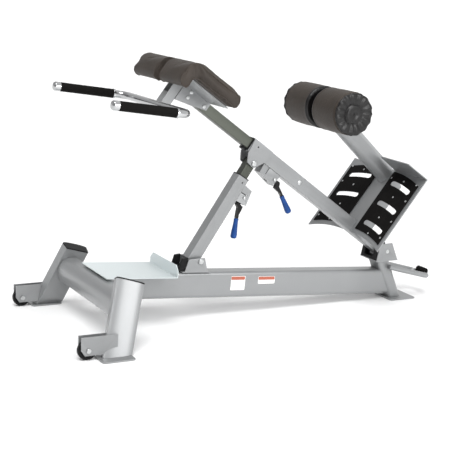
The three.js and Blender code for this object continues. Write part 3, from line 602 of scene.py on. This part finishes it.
def sleeve_profile(inner, outer, full):
    """Distance along the axle, radius and ripple of every ring of the vinyl sleeve."""
    profile = []
    for i in range(END_STEPS + 1):
        angle = i / END_STEPS * math.pi / 2
        y = inner + SLEEVE_ROUND * (1 - math.cos(angle)) * SLEEVE_SQUASH
        drop = SLEEVE_ROUND * (1 - math.sin(angle))
        profile.append((y, full - drop, SLEEVE_RIPPLE * (1 - i / END_STEPS)))
    for i in range(1, BODY_STEPS):
        t = i / BODY_STEPS
        y = inner + SLEEVE_REACH + (outer - inner - 2 * SLEEVE_REACH) * t
        crown = SLEEVE_CROWN * math.sin(math.pi * t)
        near_end = math.exp(-min(t, 1 - t) * 16)
        profile.append((y, full - SLEEVE_CROWN + crown, 0.0004 * near_end))
    for i in range(END_STEPS + 1):
        angle = (1 - i / END_STEPS) * math.pi / 2
        y = outer - SLEEVE_ROUND * (1 - math.cos(angle)) * SLEEVE_SQUASH
        drop = SLEEVE_ROUND * (1 - math.sin(angle)) + 0.0006
        profile.append((y, full - drop, SLEEVE_RIPPLE * i / END_STEPS))
    recess = full - 0.03
    profile += [(outer, recess, 0), (outer, ROLLER_BORE, 0),
                ((inner + outer) / 2, ROLLER_BORE, 0), (inner, ROLLER_BORE, 0),
                (inner, recess, 0.0005)]
    return profile


def cap_profile(near, far, full):
    """Distance along the axle, radius, radial ripple and ripple along the axle."""
    return [
        (near, ROLLER_BORE, 0, 0), (near, full - 0.004, 0.0005, 0),
        (near + 0.005, full - 0.0022, 0.0012, 0), (far - 0.006, full - 0.0035, 0.0018, 0.0004),
        (far - 0.0035, full - 0.008, 0.002, 0.0014), (far - 0.0028, full - 0.015, 0.0014, 0.0022),
        (far - 0.0032, full - 0.024, 0.0008, 0.0024), (far - 0.0042, full - 0.034, 0.0004, 0.0018),
        (far - 0.006, 0.043, 0, 0.0008), (far - 0.0075, 0.0395, 0, 0),
        (far - 0.0072, 0.037, 0, 0), (far - 0.001, 0.0355, 0, 0), (far, 0.033, 0, 0),
        (far, 0.012, 0, 0), (far - 0.0015, 0.010, 0, 0), (far - 0.0015, 0.0006, 0, 0),
        (far - 0.004, 0.0006, 0, 0), (far - 0.004, ROLLER_BORE, 0, 0),
    ]


def add_roller(side, sign):
    low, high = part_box(f"roller_foam_{side}")
    inner, outer = sorted((abs(low.y), abs(high.y)))
    full = (high.z - low.z) / 2
    rings = [roller_ring(sign * y, radius, ripple, SLEEVE_FOLDS, sign)
             for y, radius, ripple in sleeve_profile(inner, outer, full)]
    mesh = ring_surface(f"roller_{side}", rings)
    piece = add_piece(f"roller_{side}_vinyl", mesh, f"roller_{side}", "vinyl")
    piece.data.materials.append(LOOKS["black_vinyl"])
    for polygon in piece.data.polygons:
        if abs(polygon.center.y) < inner + ROLLER_RIM:
            polygon.material_index = 1
    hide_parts(f"roller_foam_{side}")

    low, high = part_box(f"roller_cap_{side}")
    near, far = sorted((abs(low.y), abs(high.y)))
    rings = [roller_ring(sign * y, radius, ripple, CAP_FOLDS, CAP_SEED, sign * lift)
             for y, radius, ripple, lift in cap_profile(near, far, full)]
    mesh = ring_surface(f"cap_{side}", rings)
    piece = add_piece(f"roller_{side}_end_cap", mesh, f"roller_{side}", "black_plastic",
                      "black_vinyl")
    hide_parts(f"roller_cap_{side}")


add_roller("left", -1)
add_roller("right", 1)


# ---------------------------------------------------------------- fasteners and trim
HEAD_SIDES = 20


def turned(name, at, direction, profile, body):
    """A small turned steel piece: (radius, height) pairs outwards, closed at both ends."""
    turn = Vector(direction).to_track_quat("Z", "Y").to_matrix()
    sides = HEAD_SIDES
    points = [Vector(at) + turn @ Vector((0, 0, profile[0][1]))]
    for radius, height in profile:
        for k in range(sides):
            angle = 2 * math.pi * k / sides
            spot = Vector((radius * math.cos(angle), radius * math.sin(angle), height))
            points.append(Vector(at) + turn @ spot)
    points.append(Vector(at) + turn @ Vector((0, 0, profile[-1][1])))
    last = len(points) - 1
    faces = [(0, 1 + (k + 1) % sides, 1 + k) for k in range(sides)]
    for i in range(len(profile) - 1):
        a, b = 1 + i * sides, 1 + (i + 1) * sides
        faces += [(a + k, a + (k + 1) % sides, b + (k + 1) % sides, b + k)
                  for k in range(sides)]
    faces += [(last, last - sides + k, last - sides + (k + 1) % sides) for k in range(sides)]
    piece = add_piece(name, closed_mesh(name, points, faces), body, "bolt_steel")
    shade = piece.modifiers.new("shade", "NODES")
    shade.node_group = SMOOTH


def domed_head(radius, height):
    """A round head with a small socket in its crown."""
    return [(radius, 0.0), (radius, height * 0.25), (radius * 0.93, height * 0.6),
            (radius * 0.7, height * 0.9), (radius * 0.42, height), (radius * 0.36, height * 0.65),
            (0.0004, height * 0.6)]


MAT_TILT = math.radians(2.2)  # the foot plate's lean from square with the arm
SCREW_INSET = 0.011
SCREW_ROWS = (-0.128, -0.05, 0.05, 0.128)
SCREW_HEAD = domed_head(0.0042, 0.0018)


def add_mat_screws():
    """Round heads round the edge of each foot mat, but none in its slots."""
    face_up = ARM_UP * math.cos(MAT_TILT) - ARM_ALONG * math.sin(MAT_TILT)
    face_out = ARM_ALONG * math.cos(MAT_TILT) + ARM_UP * math.sin(MAT_TILT)
    for side, sign in (("left", -1), ("right", 1)):
        mat = nodes[f"foot_mat_{side}"]
        low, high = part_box(f"foot_mat_{side}")
        inner, outer = sorted((abs(low.y), abs(high.y)))
        tree = BVHTree.FromPolygons([v.co for v in mat.data.vertices],
                                    [p.vertices for p in mat.data.polygons])
        centre = (low + high) / 2
        number = 0
        for column in ("inner", "middle", "outer"):
            across = {"inner": inner + SCREW_INSET, "middle": (inner + outer) / 2,
                      "outer": outer - SCREW_INSET}[column]
            for up in SCREW_ROWS:
                if column == "inner" and abs(up) < 0.1:
                    continue
                level = Vector((centre.x, sign * across, centre.z)) + face_up * up
                start = level + face_out * 0.15
                spot, normal, _, _ = tree.ray_cast(start, -face_out)
                if spot is None or normal.dot(face_out) < 0.9:
                    continue
                turned(f"mat_screw_{side}_{number}", spot, face_out, SCREW_HEAD, "arm")
                number += 1


LATCH_HEAD = domed_head(0.0062, 0.0025)
ARM_BOLT_HEAD = domed_head(0.0095, 0.004)
GUSSET_HEAD = domed_head(0.0075, 0.0035)
ARM_BOLT_ALONG = 0.5205
GUSSET_BOLTS = ((1.052, -0.001), (1.128, -0.012), (1.128, 0.012))  # along the arm and up
GUSSET_PLATE = 0.0043  # from the inner tube's side to the plate's face


def add_bolt_heads():
    for body in ("arm", "strut"):
        pivot = Vector(joints[f"{body}_lever_turn"]["pos_m"])
        low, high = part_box(f"{body}_lever")
        for side, sign, face in (("left", -1, low.y), ("right", 1, high.y)):
            turned(f"{body}_latch_head_{side}", (pivot.x, face + sign * 0.0002, pivot.z),
                   (0, sign, 0), LATCH_HEAD, body)
    turned("arm_side_bolt", on_arm(ARM_BOLT_ALONG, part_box("arm_tube")[0].y, 0.0), (0, -1, 0),
           ARM_BOLT_HEAD, "arm")
    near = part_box("seat_inner_tube")[0].y - GUSSET_PLATE
    for number, (along, up) in enumerate(GUSSET_BOLTS):
        turned(f"gusset_bolt_{number}", on_arm(along, near, up), (0, -1, 0), GUSSET_HEAD, "seat")
        turned(f"gusset_bolt_far_{number}", on_arm(along, -near, up), (0, 1, 0), GUSSET_HEAD,
               "seat")


add_mat_screws()
add_bolt_heads()


def prism(name, outline, low, high, bevel):
    """An outline of (x, z) points made into a solid in the black plastic look from y = low to y = high;
    here it makes the black block of painted shade.
    """
    count = len(outline)
    points = [(x, low, z) for x, z in outline] + [(x, high, z) for x, z in outline]
    faces = [tuple(range(count)), tuple(range(2 * count - 1, count - 1, -1))]
    faces += [(k, k + count, (k + 1) % count + count, (k + 1) % count) for k in range(count)]
    piece = add_piece(name, closed_mesh(name, points, faces), "base", "black_plastic")
    dress(piece, bevel)


SHADE_BLOCK_GAP = 0.0285  # from the middle to a tower's inner face, clear of the strut
SHADE_BLOCK_EAR = 0.0053  # the bracket's ear and a little room
SHADE_BLOCK_FOOT = 0.0145  # the foot's underside above the bracket's


def add_strut_shade_block():
    """A black block in the strut's base bracket that paints the deep shade inside it: a foot and two
    towers.
    """
    low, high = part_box("strut_base_bracket")
    foot = low.z + SHADE_BLOCK_FOOT
    front = low.x - 0.014
    tower = [(front, foot), (low.x + 0.001, high.z + 0.002), (low.x + 0.026, high.z + 0.004),
             (low.x + 0.02, foot)]
    # each tower is painted shade: a black solid where the bracket's inside is only in shade
    for label, sign in (("left", -1), ("right", 1)):
        near, far = sorted((sign * SHADE_BLOCK_GAP, sign * (high.y - SHADE_BLOCK_EAR)))
        prism(f"strut_shade_block_{label}", tower, near, far, 0.002)
    middle = [(front, foot), (low.x - 0.0095, foot + 0.013), (low.x + 0.0205, foot + 0.013),
              (low.x + 0.02, foot)]
    prism("strut_shade_block_foot", middle, -0.0284, 0.0284, 0.0015)


add_strut_shade_block()


# ---------------------------------------------------------------- stickers with nothing printed on them
BEAM_SLOPE = math.radians(3.95)
STICKER_CORNER = 0.003
STICKER_THICK = 0.0003
STICKERS = (
    # name, x, height, width, height of the sheet, look, lift off the beam
    ("sticker_large", -0.0715, 0.1265, 0.062, 0.056, "sticker_paper", 0.0001),
    ("sticker_large_band", -0.0709, 0.1463, 0.0595, 0.0135, "sticker_band", 0.0006),
    ("sticker_small", 0.056, 0.1285, 0.075, 0.029, "sticker_paper", 0.0001),
    ("sticker_small_band", 0.0563, 0.1358, 0.0725, 0.0125, "sticker_band", 0.0006),
)


def add_sticker(name, along, height, width, tall, look, lift):
    """A thin plain sheet with round corners on the beam's near side."""
    low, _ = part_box("main_beam")
    ahead = Vector((math.cos(BEAM_SLOPE), 0, -math.sin(BEAM_SLOPE)))
    up = Vector((math.sin(BEAM_SLOPE), 0, math.cos(BEAM_SLOPE)))
    outline = []
    for cx, cz, start in ((1, 1, 0), (-1, 1, 90), (-1, -1, 180), (1, -1, 270)):
        for k in range(5):
            angle = math.radians(start + k * 22.5)
            outline.append((cx * (width / 2 - STICKER_CORNER) + STICKER_CORNER * math.cos(angle),
                            cz * (tall / 2 - STICKER_CORNER) + STICKER_CORNER * math.sin(angle)))
    centre = Vector((along, low.y, height))
    outer, inner = Vector((0, lift + STICKER_THICK, 0)), Vector((0, lift, 0))
    points = [centre + ahead * u + up * w - outer for u, w in outline]
    points += [centre + ahead * u + up * w - inner for u, w in outline]
    count = len(outline)
    faces = [tuple(range(count)), tuple(reversed(range(count, 2 * count)))]
    faces += [(k, (k + 1) % count, (k + 1) % count + count, k + count) for k in range(count)]
    add_piece(name, closed_mesh(name, points, faces), "base", "pale_coat", look)


LOOKS["sticker_paper"] = label_paper("sticker_paper", (0.72, 0.72, 0.7))
LOOKS["sticker_band"] = label_paper("sticker_band", (0.33, 0.085, 0.05))
for sticker in STICKERS:
    add_sticker(*sticker)


# ---------------------------------------------------------------- floor and light
def add_floor():
    mesh = bpy.data.meshes.new("floor")
    reach = 90  # far enough that its edge stays out of the photo's view
    mesh.from_pydata([(-reach, -reach, 0), (reach, -reach, 0), (reach, reach, 0), (-reach, reach, 0)],
                     [], [(0, 1, 2, 3)])
    floor = bpy.data.objects.new("floor", mesh)
    floor.location.z = -0.0005
    bpy.context.collection.objects.link(floor)
    s = Surface("floor", 0.7)
    low, middle, high = shades((0.93, 0.93, 0.93), 0.01)
    s.color(s.ramp(s.noise(1.5), [(0.3, low), (0.5, middle), (0.7, high)]))
    give(floor, s.material)


def add_sun(azimuth, elevation, strength, spread):
    data = bpy.data.lights.new("sun", "SUN")
    data.energy = strength
    data.angle = math.radians(spread)
    light = bpy.data.objects.new("sun", data)
    a, b = math.radians(azimuth), math.radians(elevation)
    towards = Vector((math.sin(a) * math.cos(b), -math.cos(a) * math.cos(b), math.sin(b)))
    light.rotation_euler = towards.to_track_quat("Z", "Y").to_euler()
    bpy.context.collection.objects.link(light)


def add_softbox(name, at, aim, size, power):
    data = bpy.data.lights.new(name, "AREA")
    data.shape = "DISK"
    data.size = size
    data.energy = power
    light = bpy.data.objects.new(name, data)
    light.location = at
    light.rotation_euler = (Vector(aim) - Vector(at)).to_track_quat("-Z", "Y").to_euler()
    bpy.context.collection.objects.link(light)


def add_studio():
    world = bpy.data.worlds.new("studio")
    world.use_nodes = True
    background = world.node_tree.nodes["Background"]
    background.inputs["Strength"].default_value = 0.86
    tree = world.node_tree
    place = tree.nodes.new("ShaderNodeTexCoord")
    split = tree.nodes.new("ShaderNodeSeparateXYZ")
    ramp = tree.nodes.new("ShaderNodeValToRGB")
    ramp.color_ramp.elements[0].position = 0.0
    ramp.color_ramp.elements[0].color = (0.35, 0.35, 0.36, 1)
    ramp.color_ramp.elements[1].position = 0.75
    ramp.color_ramp.elements[1].color = (1, 1, 1, 1)
    turn = tree.nodes.new("ShaderNodeMapRange")
    turn.inputs["From Min"].default_value = -1.0
    tree.links.new(place.outputs["Generated"], split.inputs["Vector"])
    tree.links.new(split.outputs["X"], turn.inputs["Value"])
    tree.links.new(turn.outputs["Result"], ramp.inputs["Fac"])
    tree.links.new(ramp.outputs["Color"], background.inputs["Color"])
    bpy.context.scene.world = world
    bpy.context.scene.view_settings.view_transform = "Standard"
    add_sun(azimuth=-35, elevation=62, strength=2.2, spread=35)
    add_softbox("softbox", at=(0.65, -2.6, 1.4), aim=(-0.72, -0.3, 0.1), size=1.3, power=30)


add_floor()
add_studio()
